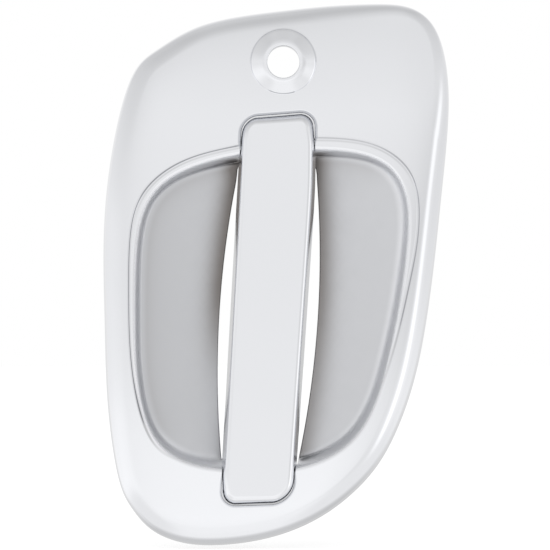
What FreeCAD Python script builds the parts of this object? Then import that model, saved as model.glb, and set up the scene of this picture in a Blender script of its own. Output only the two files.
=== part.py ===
import FreeCAD, Part
import Sketcher
import math
import os
from FreeCAD import Placement, Rotation, Vector

# Door handle cover of two plated mouldings and the foam tape that holds them.
# The surround is a crowned shell with a rolled skirt, a stepped ring, a finger bowl under the grip
# and a raised boss round the lock. The grip cover is a long cap that stands in the surround's slot.
# Frame: +X right, +Z up, the front faces -Y. The origin is on the lock's axis, at the front of its boss.
# The solids are built with the door at Y = 0 and heights towards -Y, and their Placement moves them.

doc = FreeCAD.newDocument("door_handle_cover")
sheet = doc.addObject("Spreadsheet::Sheet", "Sizes")

SIZES = [
    ("cover_width", 151.4, "surround, left edge to right edge"),
    ("cover_height", 238.0, "surround, lower edge to upper edge"),
    ("lock_from_left", 78.7, "lock axis from the left edge"),
    ("lock_from_top", 26.3, "lock axis below the upper edge"),
    ("wall", 2.4, "wall of the surround"),
    ("skirt_draft", 9.0, "degrees, lean of the skirt"),
    ("roll_radius", 6.0, "roll between skirt and face"),
    ("crest", 19.0, "height of the crown's highest point above the door"),
    ("crown_across", 450.0, "radius of the crown from side to side"),
    ("crown_along", 950.0, "radius of the crown from top to bottom"),
    ("ring_left", 10.6, "ring's outer edge from the cover's left edge"),
    ("ring_right", 13.4, "ring's outer edge from the cover's right edge"),
    ("ring_top", 58.7, "ring's outer edge below the cover's upper edge"),
    ("ring_bottom", 32.6, "ring's outer edge above the cover's lower edge"),
    ("ring_step", 0.8, "depth of the ring below the face"),
    ("band_left", 3.7, "width of the ring at the left"),
    ("band_right", 5.1, "width of the ring at the right"),
    ("band_top", 6.7, "width of the ring at the top"),
    ("band_bottom", 2.2, "width of the ring at the bottom"),
    ("lip_round", 1.2, "rounding between ring and bowl"),
    ("bowl_draft", 12.0, "degrees, lean of the bowl's wall"),
    ("bowl_level", 14.0, "height at which the bowl's outline is measured"),
    ("trough_floor", 3.6, "depth of the bowl's deepest line behind the door's plane"),
    ("trough_across", 170.0, "radius of the bowl's floor from side to side"),
    ("trough_along", 900.0, "radius of the bowl's floor from top to bottom"),
    ("trough_round", 4.0, "rounding between the bowl's wall and floor"),
    ("boss_radius", 14.1, "outer radius of the raised boss round the lock"),
    ("boss_land", 8.8, "radius of the flat at the top of the boss"),
    ("boss_foot", 14.4, "height of the boss's foot above the door"),
    ("boss_rise", 2.8, "height of the boss from its foot to its flat"),
    ("lock_bore", 14.0, "diameter of the hole for the lock"),
    ("lock_collar", 7.5, "length of the collar round the hole"),
    ("collar_wall", 1.6, "wall of the collar"),
    ("grip_from_boss", 8.0, "grip's upper end below the boss"),
    ("grip_from_bottom", 18.0, "grip's lower end above the cover's lower edge"),
    ("grip_top_width", 34.6, "grip cover's foot, width at the upper end"),
    ("grip_low_width", 32.4, "grip cover's foot, width at the lower end"),
    ("grip_off_middle", 1.2, "middle of the grip to the left of the bowl's middle"),
    ("grip_lean", 3.57, "degrees that the grip leans to the right at its top"),
    ("grip_top_slant", 8.0, "degrees, slope of the upper end against the grip"),
    ("grip_low_slant", 5.5, "degrees, slope of the lower end against the grip"),
    ("grip_corner", 7.2, "corner radius of the grip's foot"),
    ("grip_draft", 6.0, "degrees, lean of the grip's walls"),
    ("grip_foot", 9.5, "height of the grip cover's open edge above the door"),
    ("grip_depth", 14.5, "grip cover, open edge to face"),
    ("grip_round", 2.0, "rounding round the grip's face"),
    ("grip_wall", 2.2, "wall of the grip cover"),
    ("slot_gap", 0.5, "clearance between the grip's foot and the slot"),
    ("lens_bow", 4.4, "how far each side of the opening bows out beside the grip"),
    ("lens_end", 2.0, "opening's bowed sides stop this far inside the bowl"),
    ("tape_thick", 1.1, "thickness of the foam tape"),
    ("tape_width", 10.0, "width of a strip of foam tape"),
    ("grip_tape_width", 18.0, "width of the tape in the grip"),
    ("grip_tape_end", 8.8, "tape in the grip stops this far from the grip's end"),
    ("grip_tape_gap", 14.0, "between the two strips of tape in the grip"),
    ("tape_clear", 5.0, "between the ends of a strip of tape and the boss or the grip"),
    ("tape_seat", 0.15, "between the back of the surround and its tape"),
]

# Sizes that follow from the others.
BOWL_WIDTH = "(cover_width - ring_left - ring_right - band_left - band_right)"
DERIVED = [
    (
        "grip_length",
        "=cover_height - lock_from_top - boss_radius - grip_from_boss - grip_from_bottom",
        "grip cover, end to end along its middle",
    ),
    ("grip_below", "=boss_radius + grip_from_boss + grip_length / 2", "middle of the grip below the lock"),
    (
        "grip_left",
        f"=lock_from_left - ring_left - band_left - {BOWL_WIDTH} / 2 + grip_off_middle",
        "middle of the grip to the left of the lock",
    ),
    (
        "grip_tape_length",
        "=(grip_length - grip_tape_gap) / 2 - grip_tape_end",
        "length of each strip of tape in the grip",
    ),
]

for row, (alias, value, note) in enumerate(SIZES + DERIVED, start=1):
    sheet.set(f"A{row}", alias)
    sheet.set(f"B{row}", str(value))
    sheet.setAlias(f"B{row}", alias)
    sheet.set(f"C{row}", note)
doc.recompute()

SIZE = {alias: float(sheet.get(alias)) for alias, value, note in SIZES + DERIVED}

# Outlines, each as points in a box from 0 to 1: across from the left, and up from the bottom.
# Each starts at the left and runs up, over the top, down the right and back along the bottom.
RIM_SHAPE = [
    (0.000, 0.430), (0.004, 0.638), (0.065, 0.843), (0.148, 0.914), (0.263, 0.956), (0.400, 0.978),
    (0.519, 0.988), (0.640, 0.996), (0.755, 1.000), (0.860, 0.998), (0.932, 0.978), (0.978, 0.930),
    (1.000, 0.842), (0.994, 0.740), (0.978, 0.638), (0.956, 0.509), (0.926, 0.379), (0.884, 0.270),
    (0.818, 0.172), (0.733, 0.103), (0.620, 0.049), (0.475, 0.013), (0.321, 0.000), (0.212, 0.007),
    (0.132, 0.031), (0.078, 0.070), (0.039, 0.129), (0.009, 0.265),
]
RING_SHAPE = [
    (0.000, 0.543), (0.012, 0.747), (0.081, 0.867), (0.212, 0.939), (0.371, 0.975), (0.506, 0.995),
    (0.661, 1.000), (0.817, 0.987), (0.934, 0.936), (0.997, 0.843), (1.000, 0.699), (0.965, 0.537),
    (0.900, 0.315), (0.775, 0.089), (0.603, 0.015), (0.461, 0.000), (0.299, 0.005), (0.178, 0.032),
    (0.074, 0.102), (0.012, 0.303),
]
BOWL_SHAPE = [
    (0.000, 0.500), (0.008, 0.710), (0.055, 0.850), (0.167, 0.933), (0.340, 0.980), (0.516, 1.000),
    (0.680, 1.003), (0.820, 0.992), (0.935, 0.946), (0.995, 0.840), (0.992, 0.680), (0.962, 0.500),
    (0.920, 0.332), (0.867, 0.190), (0.780, 0.083), (0.650, 0.020), (0.500, -0.002), (0.340, 0.000),
    (0.200, 0.020), (0.100, 0.070), (0.038, 0.160), (0.006, 0.310),
]

# Boxes of the three outlines: left, bottom, width and height.
RIM_BOX = (
    -SIZE["lock_from_left"],
    SIZE["lock_from_top"] - SIZE["cover_height"],
    SIZE["cover_width"],
    SIZE["cover_height"],
)
RING_BOX = (
    RIM_BOX[0] + SIZE["ring_left"],
    RIM_BOX[1] + SIZE["ring_bottom"],
    RIM_BOX[2] - SIZE["ring_left"] - SIZE["ring_right"],
    RIM_BOX[3] - SIZE["ring_bottom"] - SIZE["ring_top"],
)
BOWL_BOX = (
    RING_BOX[0] + SIZE["band_left"],
    RING_BOX[1] + SIZE["band_bottom"],
    RING_BOX[2] - SIZE["band_left"] - SIZE["band_right"],
    RING_BOX[3] - SIZE["band_bottom"] - SIZE["band_top"],
)
MID_X = BOWL_BOX[0] + BOWL_BOX[2] / 2
MID_Z = BOWL_BOX[1] + BOWL_BOX[3] / 2

START_X = -2.0       # where each outline starts: over the grip's upper end
AROUND = 48          # stations round each outline
ARC_STEPS = 4        # steps across each rounding
FRONT = 45.0         # a height in front of every face, where cutting shapes end
BACK = 30.0          # a depth behind every face, where cutting shapes end
SETTLE = 60          # rounds in which a closed curve's poles settle
ROLLS = 6            # rounds in which a rolling ball settles onto what it touches
NEAR = 0.01          # closer than this counts as touching
UP = Vector(0, -1, 0)   # away from the door


def closed_curve(points):
    """The closed, evenly divided cubic curve that passes through the points."""
    poles = list(points)
    count = len(points)
    for _ in range(SETTLE):
        for i, point in enumerate(points):
            poles[i] = (point * 6 - poles[i - 1] - poles[(i + 1) % count]) * 0.25
    curve = Part.BSplineCurve()
    curve.buildFromPoles(poles, True, 3)
    return curve


def stations(shape, box):
    """Evenly spaced points on an outline, from its top over the grip, each with its inward normal."""
    left, bottom, width, height = box
    curve = closed_curve([Vector(left + u * width, 0, bottom + v * height) for u, v in shape])
    count = 40 * AROUND
    start, span = curve.FirstParameter, curve.LastParameter - curve.FirstParameter
    fine = [curve.value(start + span * k / count) for k in range(count)]
    upper = [i for i, point in enumerate(fine) if point.z > MID_Z]
    first = min(upper, key=lambda i: abs(fine[i].x - START_X))
    fine = fine[first:] + fine[:first + 1]
    lengths = [0.0]
    for a, b in zip(fine, fine[1:]):
        lengths.append(lengths[-1] + (b - a).Length)
    picked = []
    at = 0
    for k in range(AROUND):
        goal = lengths[-1] * k / AROUND
        while lengths[at + 1] <= goal:
            at += 1
        share = (goal - lengths[at]) / (lengths[at + 1] - lengths[at])
        step = fine[at + 1] - fine[at]
        along = Vector(step).normalize()
        picked.append((fine[at] + step * share, Vector(along.z, 0, -along.x)))
    return picked


def crown_height(spot, inwards=0.0):
    """Height of the crowned face above the door, or of a face a little inside it."""
    across, along = SIZE["crown_across"] - inwards, SIZE["crown_along"] - inwards
    bulge = along - across + math.sqrt(across ** 2 - (spot.x - MID_X) ** 2)
    return SIZE["crest"] - inwards - along + math.sqrt(bulge ** 2 - (spot.z - MID_Z) ** 2)


def trough_height(spot, inwards=0.0):
    """Height of the bowl's floor, or of a face a little behind it. Behind the door it is negative."""
    across, along = SIZE["trough_across"] + inwards, SIZE["trough_along"] + inwards
    bulge = along - across + math.sqrt(across ** 2 - (spot.x - MID_X) ** 2)
    return along - SIZE["trough_floor"] - inwards - math.sqrt(bulge ** 2 - (spot.z - MID_Z) ** 2)


def lift(spot, height):
    """The point over a spot of the outline plane, at a height above the door."""
    return Vector(spot.x, -height, spot.z)


def face_normal(height_of, spot, inwards):
    """The unit normal of a height field, pointing away from the door."""
    step = 0.01
    east = height_of(spot + Vector(step, 0, 0), inwards) - height_of(spot - Vector(step, 0, 0), inwards)
    north = height_of(spot + Vector(0, 0, step), inwards) - height_of(spot - Vector(0, 0, step), inwards)
    return Vector(-east / (2 * step), -1, -north / (2 * step)).normalize()


def rolling_centre(station, height_of, inwards, reach_of):
    """The centre of a ball that touches a height field and a drafted wall, over one station."""
    point, inward = station
    height = height_of(point, inwards)
    for _ in range(ROLLS):
        spot = point + inward * reach_of(height)
        height = height_of(spot, inwards)
    return lift(spot, height), face_normal(height_of, spot, inwards)


def between(first, last, share):
    """The direction a share of the way from one unit vector to another."""
    angle = first.getAngle(last)
    return (first * math.sin((1 - share) * angle) + last * math.sin(share * angle)) * (1 / math.sin(angle))


def arc_loops(rows, radius):
    """Closed rows of points across a rounding: each row holds centre, first and last direction."""
    loops = []
    for k in range(ARC_STEPS + 1):
        loops.append([c + between(a, b, k / ARC_STEPS) * radius for c, a, b in rows])
    return loops


def roll_rows():
    """The roll round the face: centres, and the directions to the skirt and to the face."""
    draft = math.radians(SIZE["skirt_draft"])
    radius = SIZE["roll_radius"]
    rows = []
    for point, inward in RIM:
        def reach(height):
            return (radius + height * math.sin(draft)) / math.cos(draft)
        centre, normal = rolling_centre((point, inward), crown_height, radius, reach)
        rows.append((centre, UP * math.sin(draft) - inward * math.cos(draft), normal))
    return rows


def bowl_wall_reach(height, offset):
    """How far inside the bowl's outline its wall, or a line beside the wall, stands at a height."""
    draft = math.radians(SIZE["bowl_draft"])
    return (SIZE["bowl_level"] - height) * math.tan(draft) + offset / math.cos(draft)


def lip_rows():
    """The rounding between the ring and the bowl's wall."""
    draft = math.radians(SIZE["bowl_draft"])
    radius = SIZE["lip_round"]
    rows = []
    for point, inward in BOWL:
        centre, normal = rolling_centre(
            (point, inward), crown_height, SIZE["ring_step"] + radius, lambda h: bowl_wall_reach(h, -radius)
        )
        rows.append((centre, normal, UP * math.sin(draft) + inward * math.cos(draft)))
    return rows


def blend_rows():
    """The rounding between the bowl's wall and its floor, with directions away from its surface."""
    draft = math.radians(SIZE["bowl_draft"])
    radius = SIZE["trough_round"]
    rows = []
    for point, inward in BOWL:
        centre, normal = rolling_centre(
            (point, inward), trough_height, -radius, lambda h: bowl_wall_reach(h, radius)
        )
        rows.append((centre, UP * -math.sin(draft) - inward * math.cos(draft), normal * -1))
    return rows


def mixed(first, last, share):
    """A row of spots a share of the way from one row to another, on the outline plane."""
    return [Vector(a.x + (b.x - a.x) * share, 0, a.z + (b.z - a.z) * share) for a, b in zip(first, last)]


def raised(spots, height_of, inwards):
    return [lift(spot, height_of(spot, inwards)) for spot in spots]


def strip(name, rows):
    """A surface through closed rows of points: straight between two rows, smooth through more."""
    sections = []
    for k, row in enumerate(rows):
        wire = doc.addObject("Part::Feature", f"{name}_{k}")
        wire.Shape = Part.Wire([closed_curve(row).toShape()])
        sections.append(wire)
    loft = doc.addObject("Part::Loft", name)
    loft.Sections = sections
    loft.Solid = False
    loft.Ruled = len(rows) == 2
    return loft


def flat_ring(name, outer, inner):
    """A flat face between two closed rows of points."""
    ring = doc.addObject("Part::Feature", name)
    wires = [Part.Wire([closed_curve(row).toShape()]) for row in (outer, inner)]
    ring.Shape = Part.makeFace(wires, "Part::FaceMakerBullseye")
    return ring


RIM = stations(RIM_SHAPE, RIM_BOX)
RING = stations(RING_SHAPE, RING_BOX)
BOWL = stations(BOWL_SHAPE, BOWL_BOX)


def shell_surfaces():
    """All surfaces of the surround, from its front rim over the face and back to the rim."""
    wall = SIZE["wall"]
    draft = math.radians(SIZE["skirt_draft"])
    rolls = roll_rows()
    front_roll = arc_loops(rolls, SIZE["roll_radius"])
    back_roll = arc_loops(rolls, SIZE["roll_radius"] - wall)
    front_rim = [lift(point, 0) for point, inward in RIM]
    back_rim = [lift(point + inward * (wall / math.cos(draft)), 0) for point, inward in RIM]
    ring = [point for point, inward in RING]
    ring_edge = raised(ring, crown_height, 0)
    ring_foot = raised(ring, crown_height, SIZE["ring_step"])
    face = [front_roll[-1]]
    face += [raised(mixed(front_roll[-1], ring, k / 4), crown_height, 0) for k in (1, 2, 3)]
    face.append(ring_edge)
    lip = arc_loops(lip_rows(), SIZE["lip_round"])
    band = [ring_foot, raised(mixed(ring, lip[0], 0.5), crown_height, SIZE["ring_step"]), lip[0]]
    blends = blend_rows()
    front_blend = arc_loops(blends, SIZE["trough_round"])
    back_blend = arc_loops(blends, SIZE["trough_round"] + wall)
    middle = []
    for k in range(AROUND):
        turn = 2 * math.pi * k / AROUND
        middle.append(Vector(
            -SIZE["grip_left"] + SIZE["grip_low_width"] / 4 * math.sin(turn), 0,
            -SIZE["grip_below"] + SIZE["grip_length"] / 4 * math.cos(turn),
        ))
    floors = []
    for loop, inwards in ((front_blend[-1], 0), (back_blend[-1], wall)):
        rows = [loop]
        rows += [raised(mixed(loop, middle, k / 3), trough_height, inwards) for k in (1, 2, 3)]
        floors.append(rows)
    bowl_top = []
    for point, inward in BOWL:
        height = SIZE["crest"]
        for _ in range(ROLLS):
            spot = point + inward * bowl_wall_reach(height, -wall)
            height = crown_height(spot, wall)
        bowl_top.append(lift(spot, height))
    inside = [back_roll[-1]]
    inside += [raised(mixed(back_roll[-1], bowl_top, k / 4), crown_height, wall) for k in (1, 2, 3)]
    inside.append(bowl_top)
    return [
        strip("skirt", [front_rim, front_roll[0]]),
        strip("roll", front_roll),
        strip("face", face),
        strip("ring_riser", [ring_edge, ring_foot]),
        strip("ring_band", band),
        strip("lip", lip),
        strip("bowl_wall", [lip[-1], front_blend[0]]),
        strip("bowl_blend", front_blend),
        strip("bowl_floor", floors[0]),
        strip("middle_edge", [floors[0][-1], floors[1][-1]]),
        strip("floor_behind", floors[1]),
        strip("blend_behind", back_blend),
        strip("wall_behind", [back_blend[0], bowl_top]),
        strip("face_inside", inside),
        strip("roll_inside", back_roll),
        strip("skirt_inside", [back_roll[0], back_rim]),
        flat_ring("rim_edge", front_rim, back_rim),
    ]


def build_shell():
    """The surround as one closed solid, before its holes are cut."""
    surfaces = shell_surfaces()
    doc.recompute()
    shell = Part.makeShell([surface.Shape.Faces[0] for surface in surfaces])
    shell.sewShape()
    solid = doc.addObject("Part::Feature", "surround_shell")
    solid.Shape = Part.makeSolid(shell)
    return solid


def combine(kind, name, base, tool):
    """A cut, common or fuse of two objects."""
    result = doc.addObject(f"Part::{kind}", name)
    result.Base = base
    result.Tool = tool
    return result


def turned(name, points):
    """A solid of revolution about the lock's axis, from radius and height points."""
    corners = [Vector(radius, -height, 0) for radius, height in points]
    profile = doc.addObject("Part::Feature", f"{name}_profile")
    profile.Shape = Part.Face(Part.makePolygon(corners + corners[:1]))
    solid = doc.addObject("Part::Revolution", name)
    solid.Source = profile
    solid.Axis = Vector(0, 1, 0)
    solid.Base = Vector(0, 0, 0)
    solid.Angle = 360
    solid.Solid = True
    return solid


def add_boss(cover):
    """The raised boss with its cone, and behind it the hollow, the collar and the hole for the lock."""
    radius, land, wall = SIZE["boss_radius"], SIZE["boss_land"], SIZE["wall"]
    bore = SIZE["lock_bore"] / 2
    collar = bore + SIZE["collar_wall"]
    low = BOSS_TOP - SIZE["lock_collar"]
    block = turned("boss_block", [(0, low), (radius, low), (radius, BOSS_TOP), (0, BOSS_TOP)])
    cone = turned("boss_cone", [(land, BOSS_TOP), (radius, BOSS_FOOT), (radius, FRONT), (land, FRONT)])
    hollow = turned("boss_hollow", [
        (collar, 0), (collar, BOSS_TOP - wall), (land, BOSS_TOP - wall),
        (radius - wall, BOSS_FOOT - wall), (radius - wall, 0),
    ])
    hole = turned("lock_hole", [(0, 0), (bore, 0), (bore, FRONT), (0, FRONT)])
    cover = combine("Fuse", "with_boss", cover, block)
    cover = combine("Cut", "with_cone", cover, cone)
    cover = combine("Cut", "with_hollow", cover, hollow)
    return combine("Cut", "with_bore", cover, hole)


def grip_corners(grow, level):
    """The four corners of the grip's foot in its own frame, grown outwards, in order round it."""
    half = SIZE["grip_length"] / 2
    corners = []
    for end, width, slant in (
        (1, SIZE["grip_top_width"], SIZE["grip_top_slant"]),
        (-1, SIZE["grip_low_width"], SIZE["grip_low_slant"]),
    ):
        reach = width / 2 + grow
        rise = math.tan(math.radians(slant)) * reach
        ends = [Vector(side * reach, -level, end * (half + grow) + side * rise) for side in (-1, 1)]
        corners += ends if end > 0 else ends[::-1]
    return corners


def rounded_polygon(corners, radius):
    """A closed wire of straight sides and tangent arcs."""
    count = len(corners)
    edges, starts, ends = [], [], []
    for i, corner in enumerate(corners):
        before = (corners[i - 1] - corner).normalize()
        after = (corners[(i + 1) % count] - corner).normalize()
        half_angle = before.getAngle(after) / 2
        middle = (before + after).normalize() * (radius / math.sin(half_angle) - radius)
        starts.append(corner + before * (radius / math.tan(half_angle)))
        ends.append(corner + after * (radius / math.tan(half_angle)))
        edges.append(Part.Arc(starts[-1], corner + middle, ends[-1]).toShape())
    for i in range(count):
        edges.append(Part.makeLine(ends[i], starts[(i + 1) % count]))
    return Part.Wire(Part.__sortEdges__(edges))


def slot_tool():
    """What is cut out of the surround: the slot round the grip and the bowed opening."""
    gap = SIZE["slot_gap"]
    base = Part.Face(rounded_polygon(grip_corners(gap, -BACK), SIZE["grip_corner"] + gap))
    slot = doc.addObject("Part::Feature", "slot_prism")
    slot.Shape = base.extrude(Vector(0, -FRONT - BACK, 0))
    slot.Placement = GRIP_PLACE
    half = BOWL_BOX[3] / 2 - SIZE["lens_end"]
    reach = (SIZE["grip_top_width"] + SIZE["grip_low_width"]) / 4 + gap
    low, middle, top = [], [], []
    for side in (-1, 1):
        low.append(Vector(side * (reach - gap), BACK, -half))
        middle.append(Vector(side * (reach + SIZE["lens_bow"]), BACK, 0))
        top.append(Vector(side * (reach - gap), BACK, half))
    wire = Part.Wire([
        Part.Arc(low[0], middle[0], top[0]).toShape(),
        Part.makeLine(top[0], top[1]),
        Part.Arc(top[1], middle[1], low[1]).toShape(),
        Part.makeLine(low[1], low[0]),
    ])
    lens = doc.addObject("Part::Feature", "lens_prism")
    lens.Shape = Part.Face(wire).extrude(Vector(0, -FRONT - BACK, 0))
    lens.Placement = GRIP_PLACE
    return combine("Fuse", "slot_and_lens", slot, lens)


def stand_off(piece):
    """Moves a finished piece from the door's plane to the lock's frame."""
    piece.setExpression("Placement.Base.y", "Sizes.boss_foot + Sizes.boss_rise")
    return piece


def build_bezel():
    """The surround moulding, in one piece."""
    cover = add_boss(build_shell())
    bezel = combine("Cut", "bezel_cover", cover, slot_tool())
    bezel.Label = "bezel_cover"
    return stand_off(bezel)


def plane_of(body, role):
    return [item for item in body.Origin.OriginFeatures if item.Role == role][0]


def grip_outline(body, name, inset):
    """A sketch of the grip's foot on the foot's plane, inset by a size of that name or none."""
    less = f" - Sizes.{inset}" if inset else ""
    outline = body.newObject("Sketcher::SketchObject", name)
    outline.AttachmentSupport = [(plane_of(body, "XZ_Plane"), "")]
    outline.MapMode = "FlatFace"
    outline.setExpression("AttachmentOffset.Base.z", "Sizes.grip_foot")
    corners = [Vector(c.x, c.z, 0) for c in grip_corners(-SIZE[inset] if inset else 0, 0)]
    for a, b in zip(corners, corners[1:] + corners[:1]):
        outline.addGeometry(Part.LineSegment(a, b))
    for i in range(4):
        outline.addConstraint(Sketcher.Constraint("Coincident", i, 2, (i + 1) % 4, 1))
    half_top, half_low = (f"(Sizes.grip_{end}_width / 2{less})" for end in ("top", "low"))
    rise_top = f"{half_top} * tan(Sizes.grip_top_slant * 1 deg)"
    rise_low = f"{half_low} * tan(Sizes.grip_low_slant * 1 deg)"
    half_long = f"(Sizes.grip_length / 2{less})"
    places = [
        (f"-{half_top}", f"{half_long} - {rise_top}"),
        (half_top, f"{half_long} + {rise_top}"),
        (half_low, f"-{half_long} + {rise_low}"),
        (f"-{half_low}", f"-{half_long} - {rise_low}"),
    ]
    for i, (across, up) in enumerate(places):
        for kind, value, expression in (("DistanceX", corners[i].x, across), ("DistanceY", corners[i].y, up)):
            index = outline.addConstraint(Sketcher.Constraint(kind, -1, 1, i, 1, value))
            outline.setExpression(f"Constraints[{index}]", expression)
    doc.recompute()
    return outline


def rounded(body, name, base, edges, radius):
    """A fillet on some of a feature's edges, by a radius given as an expression."""
    fillet = body.newObject("PartDesign::Fillet", name)
    fillet.Base = (base, edges)
    fillet.setExpression("Radius", radius)
    doc.recompute()
    return fillet


def edges_where(feature, test):
    return [f"Edge{i}" for i, edge in enumerate(feature.Shape.Edges, start=1) if test(edge)]


def grip_block(name, inset):
    """A drafted pad on the grip's foot, inset by a size of that name or none, with rounded corners."""
    less = f" - Sizes.{inset}" if inset else ""
    body = doc.addObject("PartDesign::Body", name)
    pad = body.newObject("PartDesign::Pad", f"{name}_pad")
    pad.Profile = grip_outline(body, f"{name}_outline", inset)
    pad.setExpression("Length", f"Sizes.grip_depth{less}")
    pad.setExpression("TaperAngle", "-Sizes.grip_draft")
    doc.recompute()
    corners = rounded(body, f"{name}_corners", pad, edges_where(pad, stands_up), f"Sizes.grip_corner{less}")
    body.Tip = corners
    return body, corners


def build_grip():
    """The grip's cap: a block with its face rounded, less a smaller block that hollows its back."""
    outside, corners = grip_block("grip_outside", "")
    face_edges = edges_where(corners, on_grip_face)
    outside.Tip = rounded(outside, "grip_face_round", corners, face_edges, "Sizes.grip_round")
    inside, corners = grip_block("grip_inside", "grip_wall")
    grip = combine("Cut", "grip_cover", outside, inside)
    grip.Label = "grip_cover"
    grip.Placement = GRIP_PLACE
    grip.setExpression("Placement.Base.x", "-Sizes.grip_left")
    grip.setExpression("Placement.Base.z", "-Sizes.grip_below")
    grip.setExpression("Placement.Rotation.Angle", "Sizes.grip_lean")
    return stand_off(grip)


def stands_up(edge):
    """True for an edge that runs from the foot to the face."""
    box = edge.BoundBox
    return box.YMax - box.YMin > SIZE["grip_depth"] / 2


def on_grip_face(edge):
    """True for an edge round the grip's face."""
    box = edge.BoundBox
    top = -SIZE["grip_foot"] - SIZE["grip_depth"]
    return abs(box.YMin - top) < NEAR and abs(box.YMax - top) < NEAR


BOSS_FOOT = SIZE["boss_foot"]
BOSS_TOP = BOSS_FOOT + SIZE["boss_rise"]
GRIP_PLACE = Placement(
    Vector(-SIZE["grip_left"], 0, -SIZE["grip_below"]), Rotation(Vector(0, 1, 0), SIZE["grip_lean"])
)


def spot_in(box, across, up):
    """A spot in an outline's box, from shares of its width and height."""
    left, bottom, width, height = box
    return Vector(left + across * width, 0, bottom + up * height)


def beside(x, clear_side, up):
    """A spot a tape's clearance to one side of a piece that ends at x, up a share of the cover."""
    return Vector(x + clear_side * SIZE["tape_clear"], 0, spot_in(RIM_BOX, 0, up).z)


GRIP_LOW_RIGHT, GRIP_LOW_LEFT = [GRIP_PLACE.multVec(corner).x for corner in grip_corners(0, 0)[2:]]

# The foam tape on the surround: name, the face it lies behind, and the middles of its two ends.
TAPES = [
    ("bezel_tape_top_left", "face", spot_in(RIM_BOX, 0.137, 0.856), beside(-SIZE["boss_radius"], -1, 0.856)),
    ("bezel_tape_top_right", "face", beside(SIZE["boss_radius"], 1, 0.856), spot_in(RIM_BOX, 0.916, 0.856)),
    ("bezel_tape_bottom_left", "face", spot_in(RIM_BOX, 0.16, 0.108), beside(GRIP_LOW_LEFT, -1, 0.083)),
    ("bezel_tape_bottom_right", "face", beside(GRIP_LOW_RIGHT, 1, 0.1), spot_in(RIM_BOX, 0.67, 0.129)),
    ("cheek_tape_left", "bowl", spot_in(BOWL_BOX, 0.155, 0.28), spot_in(BOWL_BOX, 0.17, 0.72)),
    ("cheek_tape_right", "bowl", spot_in(BOWL_BOX, 0.774, 0.28), spot_in(BOWL_BOX, 0.836, 0.72)),
]
TAPE_ROWS = 5        # rows of points along and across a strip of tape
TAPE_PLACE = (SIZE["grip_tape_gap"] + SIZE["grip_tape_length"]) / 2   # middle of each strip in the grip


def tape_strip(name, behind, first, last):
    """A strip of tape that follows the back of the surround's face or of its bowl."""
    height_of = crown_height if behind == "face" else trough_height
    along = Vector(last - first).normalize()
    sideways = Vector(-along.z, 0, along.x) * SIZE["tape_width"]
    faces = []
    spots = []
    for i in range(TAPE_ROWS):
        across = sideways * (i / (TAPE_ROWS - 1) - 0.5)
        spots.append([first + (last - first) * (j / (TAPE_ROWS - 1)) + across for j in range(TAPE_ROWS)])
    seat = SIZE["wall"] + SIZE["tape_seat"]
    for inwards in (seat, seat + SIZE["tape_thick"]):
        surface = Part.BSplineSurface()
        surface.interpolate([raised(row, height_of, inwards) for row in spots])
        faces.append(surface.toShape())
    sides = [Part.makeRuledSurface(a, b) for a, b in zip(faces[0].Edges, faces[1].Edges)]
    shell = Part.makeShell(faces + sides)
    shell.sewShape()
    tape = doc.addObject("Part::Feature", name)
    tape.Shape = Part.makeSolid(shell)
    return stand_off(tape)


def grip_tape(name, middle):
    """A flat strip of tape against the inner face of the grip's cap, middle given along the grip."""
    tape = doc.addObject("Part::Box", name)
    tape.setExpression("Length", "Sizes.grip_tape_width")
    tape.setExpression("Width", "Sizes.tape_thick")
    tape.setExpression("Height", "Sizes.grip_tape_length")
    corner = Vector(-SIZE["grip_tape_width"] / 2, 0, middle - SIZE["grip_tape_length"] / 2)
    tape.Placement = Placement(GRIP_PLACE.multVec(corner), GRIP_PLACE.Rotation)
    tape.setExpression(
        "Placement.Base.y",
        "Sizes.boss_foot + Sizes.boss_rise - Sizes.grip_foot - Sizes.grip_depth + Sizes.grip_wall",
    )
    return tape


pieces = [build_bezel(), build_grip()]
pieces += [tape_strip(*tape) for tape in TAPES]
pieces += [grip_tape("grip_tape_upper", TAPE_PLACE), grip_tape("grip_tape_lower", -TAPE_PLACE)]
doc.recompute()

for item in doc.Objects:
    if "Invalid" in item.State or "Error" in item.State:
        raise RuntimeError(f"{item.Name} didn't recompute: {item.State}")
for piece in pieces:
    if piece.Shape.isNull() or not piece.Shape.isValid() or len(piece.Shape.Solids) != 1:
        raise RuntimeError(f"{piece.Name} isn't one valid solid")

os.makedirs("parts", exist_ok=True)
for piece in pieces:
    piece.Shape.exportStep(f"parts/{piece.Label}.step")
    print(piece.Label, round(piece.Shape.Volume), "mm3")
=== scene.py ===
import math

import bpy
import numpy as np
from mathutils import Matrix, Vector
from mathutils.geometry import delaunay_2d_cdt


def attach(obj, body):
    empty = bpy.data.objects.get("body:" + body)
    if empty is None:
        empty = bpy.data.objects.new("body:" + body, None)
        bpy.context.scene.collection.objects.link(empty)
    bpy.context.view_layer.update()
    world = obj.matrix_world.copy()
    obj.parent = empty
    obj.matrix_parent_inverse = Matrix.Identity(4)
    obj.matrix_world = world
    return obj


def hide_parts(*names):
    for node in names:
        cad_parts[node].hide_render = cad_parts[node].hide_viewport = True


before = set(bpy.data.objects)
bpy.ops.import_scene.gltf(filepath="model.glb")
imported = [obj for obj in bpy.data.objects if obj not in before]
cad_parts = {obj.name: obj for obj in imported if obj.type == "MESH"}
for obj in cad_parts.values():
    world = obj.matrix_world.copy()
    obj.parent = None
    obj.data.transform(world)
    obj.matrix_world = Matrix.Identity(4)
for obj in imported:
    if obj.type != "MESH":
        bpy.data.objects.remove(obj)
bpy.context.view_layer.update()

# Lengths here are millimetres: across (x), up (z) and height above the door.
# The lock's axis is at 0, 0, and the front of its boss stands LOCK_FRONT above the door.
LOCK_FRONT = 17.2

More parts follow.
